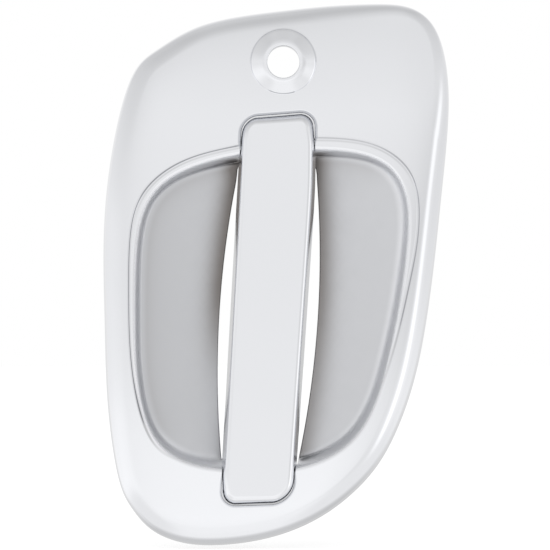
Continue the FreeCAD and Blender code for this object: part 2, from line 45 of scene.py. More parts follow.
# The three outlines of the surround, as points in a box from 0 to 1, clockwise from the left.
RIM_SHAPE = [
    (0.000, 0.430), (0.004, 0.638), (0.065, 0.843), (0.148, 0.914), (0.263, 0.956), (0.400, 0.978),
    (0.519, 0.988), (0.640, 0.996), (0.755, 1.000), (0.860, 0.998), (0.932, 0.978), (0.978, 0.930),
    (1.000, 0.842), (0.994, 0.740), (0.978, 0.638), (0.956, 0.509), (0.926, 0.379), (0.884, 0.270),
    (0.818, 0.172), (0.733, 0.103), (0.620, 0.049), (0.475, 0.013), (0.321, 0.000), (0.212, 0.007),
    (0.132, 0.031), (0.078, 0.070), (0.039, 0.129), (0.009, 0.265),
]
RING_SHAPE = [
    (0.000, 0.543), (0.012, 0.747), (0.081, 0.867), (0.212, 0.939), (0.371, 0.975), (0.506, 0.995),
    (0.661, 1.000), (0.817, 0.987), (0.934, 0.936), (0.997, 0.843), (1.000, 0.699), (0.965, 0.537),
    (0.900, 0.315), (0.775, 0.089), (0.603, 0.015), (0.461, 0.000), (0.299, 0.005), (0.178, 0.032),
    (0.074, 0.102), (0.012, 0.303),
]
BOWL_SHAPE = [
    (0.000, 0.500), (0.008, 0.710), (0.055, 0.850), (0.167, 0.933), (0.340, 0.980), (0.516, 1.000),
    (0.680, 1.003), (0.820, 0.992), (0.935, 0.946), (0.995, 0.840), (0.992, 0.680), (0.962, 0.500),
    (0.920, 0.332), (0.867, 0.190), (0.780, 0.083), (0.650, 0.020), (0.500, -0.002), (0.340, 0.000),
    (0.200, 0.020), (0.100, 0.070), (0.038, 0.160), (0.006, 0.310),
]

# The boxes of the outlines: left, bottom, width and height. The crown and the bowl's floor are
# level at the middle of the bowl's box.
RIM_BOX = (-78.7, -211.7, 151.4, 238.0)
RING_BOX = (-68.1, -179.1, 127.4, 146.7)
BOWL_BOX = (-64.4, -176.9, 118.6, 137.8)
MID_X = BOWL_BOX[0] + BOWL_BOX[2] / 2
MID_Z = BOWL_BOX[1] + BOWL_BOX[3] / 2

# The surround's wall, its drafted skirt, and the roll from skirt to face, which takes up at most
# ROLL_SHARE of the face's height.
WALL, LEAST_WALL = 2.4, 0.5
SKIRT_DRAFT = math.radians(10.5)
ROLL, ROLL_SHARE = 6.0, 0.6

# The face is crowned across and along. Near the rim it drops a little more, where the crown is high.
CREST, CROWN_ACROSS, CROWN_ALONG = 19.0, 450.0, 950.0
SHOULDER_DROP, SHOULDER_START, SHOULDER_FADE = 0.6, 6.0, 4.0
SHOULDER_HEIGHTS = (6.0, 12.0)

# The ring's step is a slope with a groove at its foot. Left and right of the grip it dies away into
# the low end, each between two places along the surround.
RING_STEP, RING_RISER = 0.8, 1.3
GROOVE_DEPTH, GROOVE_FLANK = 0.2, 0.9
RING_FADES = ((-178.0, -150.0), (-150.0, -108.0))
RING_PARTING = 6.0

# The bowl's lip, its drafted wall, which meets the bowl's outline at BOWL_LEVEL, and its floor.
LIP_ROUND = 2.0
BOWL_DRAFT = math.radians(7)
BOWL_LEVEL = 14.0
TROUGH_FLOOR, TROUGH_ACROSS, TROUGH_ALONG, TROUGH_ROUND = 3.6, 170.0, 900.0, 1.4

# The boss with its cone, the bore for the lock, and the collar behind it.
BOSS_RADIUS, BOSS_LAND, BOSS_FOOT, BOSS_TOP = 14.1, 8.8, 14.4, 17.2
BOSS_DRAFT = math.radians(8)
LAND_ROUND, BOSS_ROUND, BOSS_FOOT_ROUND, BORE_ROUND = 0.4, 0.5, 0.3, 0.5
BORE, COLLAR, COLLAR_END = 7.0, 8.6, 9.7

# The roll of the slot's edge above the bowl, below the bowl and in the bowl, and where each fades
# into the next: between two places along the surround, and between two distances from the bowl.
SLOT_ROLL, LOW_ROLL, CHEEK_ROLL = 1.7, 1.0, 0.4
SLOT_ROLL_FADE, CHEEK_ROLL_FADE = (-60.0, -40.0), (2.0, 7.0)

# The grip leans, and tapers downwards. Its right side bends upright near the top, and its ends have
# more draft than its sides.
GRIP_MIDDLE = (-6.3, -107.9)
GRIP_LEAN = math.radians(3.57)
GRIP_LENGTH, GRIP_TOP_WIDTH, GRIP_LOW_WIDTH = 171.6, 34.6, 32.4
GRIP_TOP_SLANT, GRIP_LOW_SLANT = math.radians(8), math.radians(5.5)
GRIP_CORNER, GRIP_LOW_RIGHT_CORNER, GRIP_ROUND, GRIP_WALL = 7.2, 10.0, 2.0, 2.2
GRIP_UPRIGHT, GRIP_BEND = 14.2, 0.6
GRIP_DRAFT, GRIP_END_DRAFT = math.radians(6.5), math.radians(12)
GRIP_END_FADE = (72.0, 84.0)
GRIP_FOOT, GRIP_FACE = 9.5, 24.0

# The slot round the grip, and the lens-shaped opening beside it. Past the lens's ends the slot
# closes on the grip's wall.
SLOT_GAP, SLOT_TUCK, SLOT_TUCK_FADE = 0.5, 0.95, (-3.0, 1.0)
LENS_BOW, LENS_END, LENS_DROP, LENS_CORNER = 4.4, 4.0, 1.9, 0.5
LENS_HALF = BOWL_BOX[3] / 2 - LENS_END
LENS_RISE = LENS_BOW + SLOT_GAP
LENS_RADIUS = (LENS_HALF ** 2 + LENS_RISE ** 2) / (2 * LENS_RISE)
LENS_REACH = (GRIP_TOP_WIDTH + GRIP_LOW_WIDTH) / 4 + SLOT_GAP + LENS_BOW

# Where loops of points follow each line, closer together where the surface turns: inside the rim,
# the ring and the bowl, outside the opening, round the lock, and inside the grip's foot.
RIM_INSETS = (
    0, 0.25, 0.5, 0.75, 1.0, 1.15, 1.35, 1.6, 1.9, 2.2, 2.43, 2.7, 3.0, 3.3, 3.6, 4.0, 4.5, 5.0, 5.6, 6.2,
    6.8, 7.4, 8.0, 9.0, 10.5,
)
RING_INSETS = (-1.0, -0.3, 0, 0.15, 0.3, 0.45, 0.6, 0.75, 0.9, 1.05, 1.25, 1.45, 1.65, 1.9, 2.3)
BOWL_INSETS = (
    -3.6, -3.0, -2.8, -2.6, -2.2, -1.8, -1.5, -1.3, -1.1, -0.9, -0.7, -0.5, -0.3, -0.15, 0, 0.15, 0.3, 0.6,
    1.0, 1.5, 2.0, 2.5, 3.0, 3.5, 4.0, 4.5, 5.0, 5.5, 6.1, 6.8, 7.6, 8.6, 10.0,
)
OPENING_GAPS = (0, 0.03, 0.1, 0.2, 0.33, 0.5, 0.7, 0.9, 1.15, 1.45, 1.8, 2.2, 2.6)
LOCK_RADII = (
    7.0, 7.02, 7.08, 7.16, 7.28, 7.5, 8.0, 8.4, 8.6, 8.65, 8.8, 9.0, 9.4, 10.2, 11.2, 12.2, 13.0, 13.5, 13.7,
    13.85, 14.0, 14.1, 14.17, 14.25, 14.35, 14.5, 14.8, 15.4,
)
GRIP_INSETS = (
    0, 0.3, 0.6, 0.9, 1.2, 1.3, 1.4, 1.55, 1.75, 2.0, 2.21, 2.35, 2.6, 2.95, 3.3, 3.62, 4.0, 4.4, 4.87, 5.4,
)
RIM_POINTS, RING_POINTS, BOWL_POINTS, LOCK_POINTS = 640, 340, 340, 144
RIM_SPARSE = 2.0            # further inside the rim, every second point is left out
OPENING_STEP, GRIP_STEP = 1.1, 0.8
RAY_REACH = 130

# Loose points between the loops: their spacing, then left, right, low and high.
SURROUND_GRID = (3.2, -80, 75, -213, 28)
GRIP_GRID = (3.0, -13, 13, -83, 83)

# Limits of the searches and of what counts as touching.
STEPS_PER_POINT = 48
POLE_PASSES = 60
LOWEST, HIGHEST, HALVINGS, RAY_HALVINGS = -14.0, 40.0, 44, 40
ON_EDGE = 1e-3
SKIRT_REACH, SLOT_REACH, COLLAR_SLACK = 9, 6, 0.02
SHARP_EDGE = math.radians(40)

# The material slots of both mouldings, and how far outside the bowl's outline satin plating starts.
BRIGHT, SATIN, UNPOLISHED = 0, 1, 2
SATIN_START = -0.8

# Painted shade, from 0 to 1, that darkens the plating: over the cheeks, beside the slot, at the foot and
# beyond the foot of the bowl's wall where it looks down to the right, a painted dark line in the ring's
# groove, and the grip's walls.
SHADE_START = (-0.6, 0.2)
SHADE_CHEEK, SHADE_CHEEK_FADE = 0.32, (1.5, 5)
SHADE_SLOT, SHADE_SLOT_FADE = 0.7, (0, 2)
SHADE_SLOT_REACHES = (6.5, 6.2)
SHADE_SLOT_LOW = (-150, -95)
SHADE_SLOT_RIGHT = (0.65, 0.2)
SHADED_AIM, SHADED_TURN = (0.75, -0.66), (-0.3, 0.6)
SHADE_FOOT, SHADE_FOOT_PLACE, SHADE_FOOT_WIDTH = 0.15, 1.3, 1.1
SHADE_BEYOND, SHADE_BEYOND_START, SHADE_BEYOND_FADE = 0.25, 2.5, 4.0
SHADE_GROOVE, SHADE_GROOVE_PLACE, SHADE_GROOVE_WIDTH = 0.8, 0.65, 0.5
SHADE_GRIP_HEIGHTS = (19.5, 22.5)
SHADE_GRIP_END, SHADE_GRIP_END_FADE = 0.8, (60, 66)


def units(vectors):
    """The vectors with a length of 1."""
    return vectors / np.linalg.norm(vectors, axis=1)[:, None]


def settled_poles(points):
    """Poles of the closed cubic curve that passes through the points."""
    poles = np.array(points, float)
    count = len(points)
    for _ in range(POLE_PASSES):
        for i in range(count):
            poles[i] = (np.array(points[i]) * 6 - poles[i - 1] - poles[(i + 1) % count]) / 4
    return poles


def outline(shape, box):
    """Points round a closed outline, with the inward unit normal at each."""
    left, bottom, width, height = box
    poles = settled_poles([(left + u * width, bottom + v * height) for u, v in shape])
    t = (np.arange(STEPS_PER_POINT) / STEPS_PER_POINT)[:, None]
    rows, slopes = [], []
    for i in range(len(poles)):
        a, b, c, d = (poles[(i + k) % len(poles)] for k in (-1, 0, 1, 2))
        rows.append(((1 - t) ** 3 * a + (3 * t ** 3 - 6 * t ** 2 + 4) * b
                     + (-3 * t ** 3 + 3 * t ** 2 + 3 * t + 1) * c + t ** 3 * d) / 6)
        slopes.append((-(1 - t) ** 2 * a + (3 * t ** 2 - 4 * t) * b
                       + (-3 * t ** 2 + 2 * t + 1) * c + t ** 2 * d) / 2)
    slope = units(np.concatenate(slopes))
    return np.concatenate(rows), np.stack([slope[:, 1], -slope[:, 0]], axis=1)


def evenly(curve, count):
    """The same outline with its points evenly spaced."""
    points, normals = curve
    closed = np.vstack([points, points[:1]])
    reach = np.concatenate([[0], np.cumsum(np.linalg.norm(np.diff(closed, axis=0), axis=1))])
    goals = np.arange(count) * reach[-1] / count
    turned = np.vstack([normals, normals[:1]])
    spots = np.stack([np.interp(goals, reach, closed[:, k]) for k in (0, 1)], axis=1)
    aims = np.stack([np.interp(goals, reach, turned[:, k]) for k in (0, 1)], axis=1)
    return spots, units(aims)


def inside_by(spots, curve):
    """How far inside an outline each spot lies, and the direction in which that grows."""
    points, normals = curve
    nearest = np.empty(len(spots), int)
    batch = 4000
    for start in range(0, len(spots), batch):
        part = spots[start:start + batch]
        gaps = ((part[:, None, :] - points[None, :, :]) ** 2).sum(axis=2)
        nearest[start:start + batch] = gaps.argmin(axis=1)
    best = np.full(len(spots), np.inf)
    foot, aim = np.zeros_like(spots), np.zeros_like(spots)
    count = len(points)
    for first in (-1, 0):
        i = (nearest + first) % count
        j = (i + 1) % count
        along = points[j] - points[i]
        share = ((spots - points[i]) * along).sum(axis=1) / (along ** 2).sum(axis=1)
        share = np.clip(share, 0, 1)[:, None]
        spot = points[i] + along * share
        gap = np.linalg.norm(spots - spot, axis=1)
        near = gap < best
        best[near] = gap[near]
        foot[near] = spot[near]
        aim[near] = (normals[i] * (1 - share) + normals[j] * share)[near]
    aim = units(aim)
    side = ((spots - foot) * aim).sum(axis=1)
    return np.where(side < 0, -best, best), aim


def round_max(a, b, radius):
    """The overlap of two shapes, given by their distances, with its edge rounded."""
    reach = np.hypot(np.maximum(a + radius, 0), np.maximum(b + radius, 0))
    return np.minimum(np.maximum(a, b), -radius) + reach


def round_min(a, b, radius):
    """Two shapes joined, with the inner corner between them rounded."""
    return -round_max(-a, -b, radius)


def smooth_step(value, start, end):
    """From 0 at start to 1 at end, level at both."""
    share = np.clip((value - start) / (end - start), 0, 1)
    return share * share * (3 - 2 * share)


def crown(x, z):
    """Height of the crowned face above the door."""
    bulge = CROWN_ALONG - CROWN_ACROSS + np.sqrt(CROWN_ACROSS ** 2 - (x - MID_X) ** 2)
    return CREST - CROWN_ALONG + np.sqrt(bulge ** 2 - (z - MID_Z) ** 2)


def trough(x, z):
    """Height of the bowl's floor above the door. Behind the door it is negative."""
    bulge = TROUGH_ALONG - TROUGH_ACROSS + np.sqrt(TROUGH_ACROSS ** 2 - (x - MID_X) ** 2)
    return TROUGH_ALONG - TROUGH_FLOOR - np.sqrt(bulge ** 2 - (z - MID_Z) ** 2)


def grip_corners():
    """The corners of the grip's foot in its own frame, clockwise from the upper left."""
    half = GRIP_LENGTH / 2
    corners = []
    for end, width, slant in ((1, GRIP_TOP_WIDTH, GRIP_TOP_SLANT), (-1, GRIP_LOW_WIDTH, GRIP_LOW_SLANT)):
        reach = width / 2
        ends = [(side * reach, end * half + side * math.tan(slant) * reach) for side in (-1, 1)]
        corners += ends if end > 0 else ends[::-1]
    return np.array(corners)


def grip_sides(step):
    """Points along the four sides of the grip's foot, in its own frame."""
    corners = grip_corners()
    sides = []
    for i in range(4):
        a, b = corners[i], corners[(i + 1) % 4]
        count = int(np.linalg.norm(b - a) / step)
        sides.append(a + (b - a) * (np.arange(count) / count)[:, None])
    return np.concatenate(sides)


def outside_grip(spots):
    """Distance outside the grip's foot, with its corners rounded, in the grip's own frame."""
    corners = grip_corners()
    planes = []
    for i in range(4):
        along = corners[(i + 1) % 4] - corners[i]
        along /= np.linalg.norm(along)
        out = np.array([-along[1], along[0]])
        planes.append((spots - corners[i]) @ out)
    top, right, low, left = planes
    upright = spots[:, 0] * math.cos(GRIP_LEAN) + spots[:, 1] * math.sin(GRIP_LEAN)
    upright = upright + GRIP_MIDDLE[0] - GRIP_UPRIGHT
    right = (right + upright + np.hypot(right - upright, GRIP_BEND)) / 2
    top_right = round_max(top, right, GRIP_CORNER)
    low_left = round_max(low, left, GRIP_CORNER)
    low_right = round_max(right, low, GRIP_LOW_RIGHT_CORNER)
    top_left = round_max(left, top, GRIP_CORNER)
    return np.maximum(np.maximum(top_right, low_left), np.maximum(top_left, low_right))


def leaned(x, z):
    """A direction in the grip's own frame, as a direction on the surround."""
    cos, sin = math.cos(GRIP_LEAN), math.sin(GRIP_LEAN)
    return x * cos + z * sin, -x * sin + z * cos


def into_grip_frame(spots):
    """Spots on the surround, in the grip's own upright frame."""
    x, z = spots[:, 0] - GRIP_MIDDLE[0], spots[:, 1] - GRIP_MIDDLE[1]
    cos, sin = math.cos(GRIP_LEAN), math.sin(GRIP_LEAN)
    return np.stack([x * cos - z * sin, x * sin + z * cos], axis=1)


def out_of_grip_frame(spots):
    """Spots in the grip's own frame, back on the surround."""
    x, z = leaned(spots[:, 0], spots[:, 1])
    return np.stack([x + GRIP_MIDDLE[0], z + GRIP_MIDDLE[1]], axis=1)


def outside_opening(spots):
    """Distance outside the slot and the bowed opening beside the grip."""
    own = into_grip_frame(spots)
    along = np.abs(own[:, 1] + LENS_DROP)
    start, end = (LENS_HALF + place for place in SLOT_TUCK_FADE)
    slot = outside_grip(own) - SLOT_GAP + SLOT_TUCK * smooth_step(along, start, end)
    centre = LENS_REACH - LENS_RADIUS
    lens = np.hypot(np.abs(own[:, 0]) - centre, along) - LENS_RADIUS
    lens = np.maximum(lens, along - LENS_HALF)
    return round_min(slot, lens, LENS_CORNER)


def slope_of(distance, spots):
    """The direction in which a distance grows fastest."""
    step = 0.01
    east = distance(spots + [step, 0]) - distance(spots - [step, 0])
    north = distance(spots + [0, step]) - distance(spots - [0, step])
    slope = np.stack([east, north], axis=1) / (2 * step)
    return slope / np.maximum(np.linalg.norm(slope, axis=1), 1e-6)[:, None]


class Field:
    """What the surround's shape needs to know about a set of spots."""

    def __init__(self, spots, curves):
        self.x, self.z = spots[:, 0], spots[:, 1]
        self.rim, self.rim_aim = inside_by(spots, curves[0])
        self.ring, self.ring_aim = inside_by(spots, curves[1])
        self.bowl, self.bowl_aim = inside_by(spots, curves[2])
        self.open = outside_opening(spots)
        self.open_aim = slope_of(outside_opening, spots)
        self.lock = np.hypot(self.x, self.z)
        self.lock_aim = spots / np.maximum(self.lock, 1e-6)[:, None]

    def moved(self, dx, dz):
        """The same spots moved by a little."""
        other = Field.__new__(Field)
        other.x, other.z = self.x + dx, self.z + dz
        for name in ("rim", "ring", "bowl", "open", "lock"):
            aim = getattr(self, name + "_aim")
            setattr(other, name, getattr(self, name) + aim[:, 0] * dx + aim[:, 1] * dz)
        return other


def ring_share(spot):
    """How much of the ring's step is left: it dies away into the surround's low end."""
    left, right = (smooth_step(spot.z, *fade) for fade in RING_FADES)
    return np.where(spot.x < GRIP_MIDDLE[0] - RING_PARTING, left, right)


def moulding(spot, height, step):
    """Distance outside the surround without its openings; step is 1 with the ring's step and 0 without."""
    sunk = smooth_step(spot.ring, 0, RING_RISER) * (RING_STEP + GROOVE_DEPTH)
    sunk -= smooth_step(spot.ring, RING_RISER, RING_RISER + GROOVE_FLANK) * GROOVE_DEPTH
    sunk = sunk * ring_share(spot)
    top = crown(spot.x, spot.z)
    drop = SHOULDER_DROP * np.exp(-np.maximum(spot.rim - SHOULDER_START, -SHOULDER_FADE) / SHOULDER_FADE)
    face = height - top + step * sunk + drop * smooth_step(top, *SHOULDER_HEIGHTS)
    skirt = height * math.sin(SKIRT_DRAFT) - spot.rim * math.cos(SKIRT_DRAFT)
    body = round_max(face, skirt, np.minimum(ROLL, ROLL_SHARE * top))
    wall = spot.bowl - (BOWL_LEVEL - height) * math.tan(BOWL_DRAFT)
    floor = height - trough(spot.x, spot.z)
    hollow = round_max(-wall * math.cos(BOWL_DRAFT), -floor, TROUGH_ROUND)
    body = round_max(body, -hollow, LIP_ROUND)
    cone = math.atan2(BOSS_TOP - BOSS_FOOT, BOSS_RADIUS - BOSS_LAND)
    slope = (height - BOSS_FOOT) * math.cos(cone) + (spot.lock - BOSS_RADIUS) * math.sin(cone)
    side = (spot.lock - BOSS_RADIUS) * math.cos(BOSS_DRAFT) + (height - BOSS_FOOT) * math.sin(BOSS_DRAFT)
    boss = round_max(round_max(slope, height - BOSS_TOP, LAND_ROUND), side, BOSS_ROUND)
    return round_min(body, boss, BOSS_FOOT_ROUND)


def front(spot, height):
    """Distance outside the surround's front, with the soft roll round the slot."""
    whole = moulding(spot, height, 1)
    roll = LOW_ROLL + (SLOT_ROLL - LOW_ROLL) * smooth_step(spot.z, *SLOT_ROLL_FADE)
    roll = CHEEK_ROLL + (roll - CHEEK_ROLL) * smooth_step(-spot.bowl, *CHEEK_ROLL_FADE)
    shape = round_max(whole, -spot.open, roll)
    return round_max(shape, BORE - spot.lock, BORE_ROUND)


def behind(spot, height):
    """Distance outside the surround's back."""
    return moulding(spot, height, 0) + WALL


def level(shape, spot):
    """The height at which each spot leaves the shape."""
    low, high = np.full(len(spot.x), LOWEST), np.full(len(spot.x), HIGHEST)
    for _ in range(HALVINGS):
        middle = (low + high) / 2
        out = shape(spot, middle) > 1e-7
        high = np.where(out, middle, high)
        low = np.where(out, low, middle)
    return (low + high) / 2


def normals_of(shape, spot, height):
    """Outward unit normals of a shape, as across, up and away from the door."""
    step = 0.004
    east = shape(spot.moved(step, 0), height) - shape(spot.moved(-step, 0), height)
    north = shape(spot.moved(0, step), height) - shape(spot.moved(0, -step), height)
    away = shape(spot, height + step) - shape(spot, height - step)
    normal = np.stack([east, north, away], axis=1)
    return normal / np.maximum(np.linalg.norm(normal, axis=1), 1e-9)[:, None]


def ring_of_rays(distance, centre, aims, value):
    """The closed line round a centre on which a distance has a value."""
    low, high = np.zeros(len(aims)), np.full(len(aims), RAY_REACH)
    for _ in range(RAY_HALVINGS):
        middle = (low + high) / 2
        out = distance(centre + aims * middle[:, None]) > value
        high = np.where(out, middle, high)
        low = np.where(out, low, middle)
    return centre + aims * ((low + high) / 2)[:, None]


def loose_grid(spacing, left, right, low, high):
    """Points spread evenly over a box, each second row half a step across."""
    rows = []
    step = spacing * math.sqrt(3) / 2
    for j in range(int((high - low) / step) + 1):
        start = left + (spacing / 2 if j % 2 else 0)
        xs = np.arange(start, right, spacing)
        rows.append(np.stack([xs, np.full(len(xs), low + j * step)], axis=1))
    return np.concatenate(rows)


def triangulated(loops, grid):
    """Triangles over closed loops of points and loose points, all turned the same way."""
    points, edges = [], []
    for loop in loops:
        first = len(points)
        points += [Vector((float(x), float(z))) for x, z in loop]
        edges += [(first + i, first + (i + 1) % len(loop)) for i in range(len(loop))]
    points += [Vector((float(x), float(z))) for x, z in grid]
    spots, _, faces, _, _, _ = delaunay_2d_cdt(points, edges, [], 0, 1e-4)
    spots, faces = np.array([tuple(p) for p in spots]), np.array([tuple(f) for f in faces])
    a, b, c = (spots[faces[:, k]] for k in range(3))
    area = (b[:, 0] - a[:, 0]) * (c[:, 1] - a[:, 1]) - (b[:, 1] - a[:, 1]) * (c[:, 0] - a[:, 0])
    real = np.abs(area) > 1e-9
    faces, area = faces[real], area[real]
    return spots, np.where((area < 0)[:, None], faces[:, ::-1], faces)


def trimmed(spots, faces, keep):
    """The faces to keep, and only the spots that they use."""
    used, faces = np.unique(faces[keep], return_inverse=True)
    return spots[used], faces.reshape(-1, 3)


def linked(name, data):
    """A new object in the scene."""
    thing = bpy.data.objects.new(name, data)
    bpy.context.scene.collection.objects.link(thing)
    return thing


def shell_mesh(name, spots, faces, heights, backs, normals, finish):
    """A closed shell from one set of triangles at two heights; finish is the slot of each front face."""
    count = len(spots)
    edges = np.concatenate([faces[:, [0, 1]], faces[:, [1, 2]], faces[:, [2, 0]]])
    _, index, uses = np.unique(np.sort(edges, axis=1), axis=0, return_index=True, return_counts=True)
    border = edges[index[uses == 1]]
    top = np.stack([spots[:, 0], LOCK_FRONT - heights, spots[:, 1]], axis=1)
    bottom = np.stack([spots[:, 0], LOCK_FRONT - backs, spots[:, 1]], axis=1)
    apart = np.abs(heights - backs) > 1e-4
    under = np.where(apart, count + np.cumsum(apart) - 1, np.arange(count))
    everything = [tuple(f) for f in faces] + [tuple(under[f]) for f in faces[:, ::-1]]
    slots = list(finish) + [UNPOLISHED] * len(faces)
    for a, b in border:
        wall = [b, a] + [under[k] for k in (a, b) if apart[k]]
        if len(wall) > 2:
            everything.append(tuple(wall))
            slots.append(BRIGHT)
    mesh = bpy.data.meshes.new(name)
    mesh.from_pydata([tuple(v) for v in np.concatenate([top, bottom[apart]]) / 1000], [], everything)
    mesh.polygons.foreach_set("material_index", slots)
    mesh.polygons.foreach_set("use_smooth", [True] * len(everything))
    mesh.update()
    mesh.set_sharp_from_angle(angle=SHARP_EDGE)
    corner = np.empty(len(mesh.loops) * 3, np.float32)
    mesh.corner_normals.foreach_get("vector", corner)
    corner = corner.reshape(-1, 3)
    owner = np.empty(len(mesh.loops), np.int32)
    mesh.loops.foreach_get("vertex_index", owner)
    shown = np.stack([normals[:, 0], -normals[:, 2], normals[:, 1]], axis=1)
    front_corners = len(faces) * 3
    corner[:front_corners] = shown[owner[:front_corners]]
    mesh.normals_split_custom_set([tuple(n) for n in corner])
    return linked(name, mesh)


def painted_shade(piece, share):
    """Stores on a shell the painted shade of its front: darkening painted where shade falls, from 0 to 1."""
    layer = piece.data.attributes.new("painted_shade", "FLOAT", "POINT")
    values = np.zeros(len(piece.data.vertices), np.float32)
    values[:len(share)] = share
    layer.data.foreach_set("value", values)


def surround_painted_shade(spots, field):
    """The painted shade over the surround's front, from 0 to 1: shade painted into the bowl and the ring's
    groove.
    """
    left = into_grip_frame(spots)[:, 0] < 0
    low = smooth_step(spots[:, 1], *SHADE_SLOT_LOW)
    right_share = SHADE_SLOT_RIGHT[0] + SHADE_SLOT_RIGHT[1] * low
    # Painted shade beside the slot: on the left strongest at the top and gone at the low end, on the right
    # all along.
    near_slot = np.exp(-(field.open / np.where(left, *SHADE_SLOT_REACHES)) ** 2)
    near_slot = near_slot * np.where(left, low, right_share)
    # Painted shade where the bowl's wall looks down to the right: at its foot and beyond it.
    shaded = smooth_step(field.bowl_aim @ np.array(SHADED_AIM), *SHADED_TURN)
    foot = SHADE_FOOT * np.exp(-((field.bowl - SHADE_FOOT_PLACE) / SHADE_FOOT_WIDTH) ** 2)
    beyond = SHADE_BEYOND * np.exp(-np.maximum(field.bowl - SHADE_BEYOND_START, 0) / SHADE_BEYOND_FADE)
    beyond = beyond * smooth_step(field.bowl, 1.0, SHADE_BEYOND_START)
    # Painted shade over the cheeks of the bowl.
    cheek = SHADE_CHEEK * smooth_step(field.bowl, *SHADE_CHEEK_FADE)
    cheek = cheek + SHADE_SLOT * near_slot * smooth_step(field.bowl, *SHADE_SLOT_FADE)
    inside = (cheek + shaded * (foot + beyond)) * smooth_step(field.bowl, *SHADE_START)
    # A painted dark line along the ring's groove, fading where the ring's step dies away.
    groove = SHADE_GROOVE * np.exp(-((field.ring - SHADE_GROOVE_PLACE) / SHADE_GROOVE_WIDTH) ** 2)
    return np.clip(inside + groove * ring_share(field), 0, 1)


def surround():
    """The surround moulding, from loops that follow its rim, ring, bowl, opening and boss."""
    curves = [outline(RIM_SHAPE, RIM_BOX), outline(RING_SHAPE, RING_BOX), outline(BOWL_SHAPE, BOWL_BOX)]
    counts = (RIM_POINTS, RING_POINTS, BOWL_POINTS)
    rim, ring, bowl = (evenly(curve, count) for curve, count in zip(curves, counts))
    loops = [(rim[0] + rim[1] * inset)[::1 if inset < RIM_SPARSE else 2] for inset in RIM_INSETS]
    loops += [ring[0] + ring[1] * inset for inset in RING_INSETS]
    loops += [bowl[0] + bowl[1] * inset for inset in BOWL_INSETS]
    centre = np.array(GRIP_MIDDLE)
    aims = units(out_of_grip_frame(grip_sides(OPENING_STEP)) - centre)
    loops += [ring_of_rays(outside_opening, centre, aims, gap) for gap in OPENING_GAPS]
    turns = np.arange(LOCK_POINTS) * 2 * math.pi / LOCK_POINTS
    circle = np.stack([np.cos(turns), np.sin(turns)], axis=1)
    loops += [circle * radius for radius in LOCK_RADII]
    spots, faces = triangulated(loops, loose_grid(*SURROUND_GRID))
    middles = spots[faces].mean(axis=1)
    keep = inside_by(middles, curves[0])[0] > 0
    keep &= outside_opening(middles) > 0
    keep &= np.hypot(middles[:, 0], middles[:, 1]) > BORE * math.cos(math.pi / LOCK_POINTS)
    spots, faces = trimmed(spots, faces, keep)
    field = Field(spots, curves)
    field.open = np.maximum(field.open, 0)
    field.lock = np.maximum(field.lock, BORE)
    heights = level(front, field)
    backs = level(behind, field)
    beside_slot = (field.open < SLOT_REACH) & (field.bowl < 0)
    backs = np.where(beside_slot, np.minimum(backs, heights - LEAST_WALL), backs)
    on_skirt = field.rim < SKIRT_REACH
    heights = np.where(on_skirt, np.maximum(heights, 0), heights)
    backs = np.where(on_skirt, np.maximum(backs, 0), backs)
    backs = np.where(field.lock < COLLAR + COLLAR_SLACK, COLLAR_END, backs)
    on_rim = field.rim < ON_EDGE
    heights = np.where(on_rim, 0, heights)
    backs = np.where(on_rim, 0, backs)
    normals = normals_of(front, field, heights)
    finish = np.where(field.bowl[faces].mean(axis=1) > SATIN_START, SATIN, BRIGHT)
    piece = shell_mesh("bezel_plating", spots, faces, heights, backs, normals, finish)
    painted_shade(piece, surround_painted_shade(spots, field))
    return piece


def wall_draft(along):
    """The draft of the grip's walls: the two ends lean more than the sides."""
    return GRIP_DRAFT + (GRIP_END_DRAFT - GRIP_DRAFT) * smooth_step(np.abs(along), *GRIP_END_FADE)


class GripField:
    """What the shape of the grip's cap needs to know about a set of spots."""

    def __init__(self, spots):
        self.x, self.z = spots[:, 0], spots[:, 1]
        self.foot = -outside_grip(spots)
        self.foot_aim = slope_of(lambda s: -outside_grip(s), spots)
        self.draft = wall_draft(self.z)

    def moved(self, dx, dz):
        """The same spots moved by a little."""
        other = GripField.__new__(GripField)
        other.x, other.z = self.x + dx, self.z + dz
        other.foot = self.foot + self.foot_aim[:, 0] * dx + self.foot_aim[:, 1] * dz
        other.draft = wall_draft(other.z)
        return other


def cap_side(spot, height):
    """Distance outside the drafted wall of the grip's cap."""
    return (height - GRIP_FOOT) * np.sin(spot.draft) - spot.foot * np.cos(spot.draft)


def cap(spot, height):
    """Distance outside the grip's cap, taken as solid."""
    return round_max(cap_side(spot, height), height - GRIP_FACE, GRIP_ROUND)


def cap_behind(spot, height):
    """Distance outside the hollow of the grip's cap."""
    return np.maximum(cap_side(spot, height), height - GRIP_FACE) + GRIP_WALL


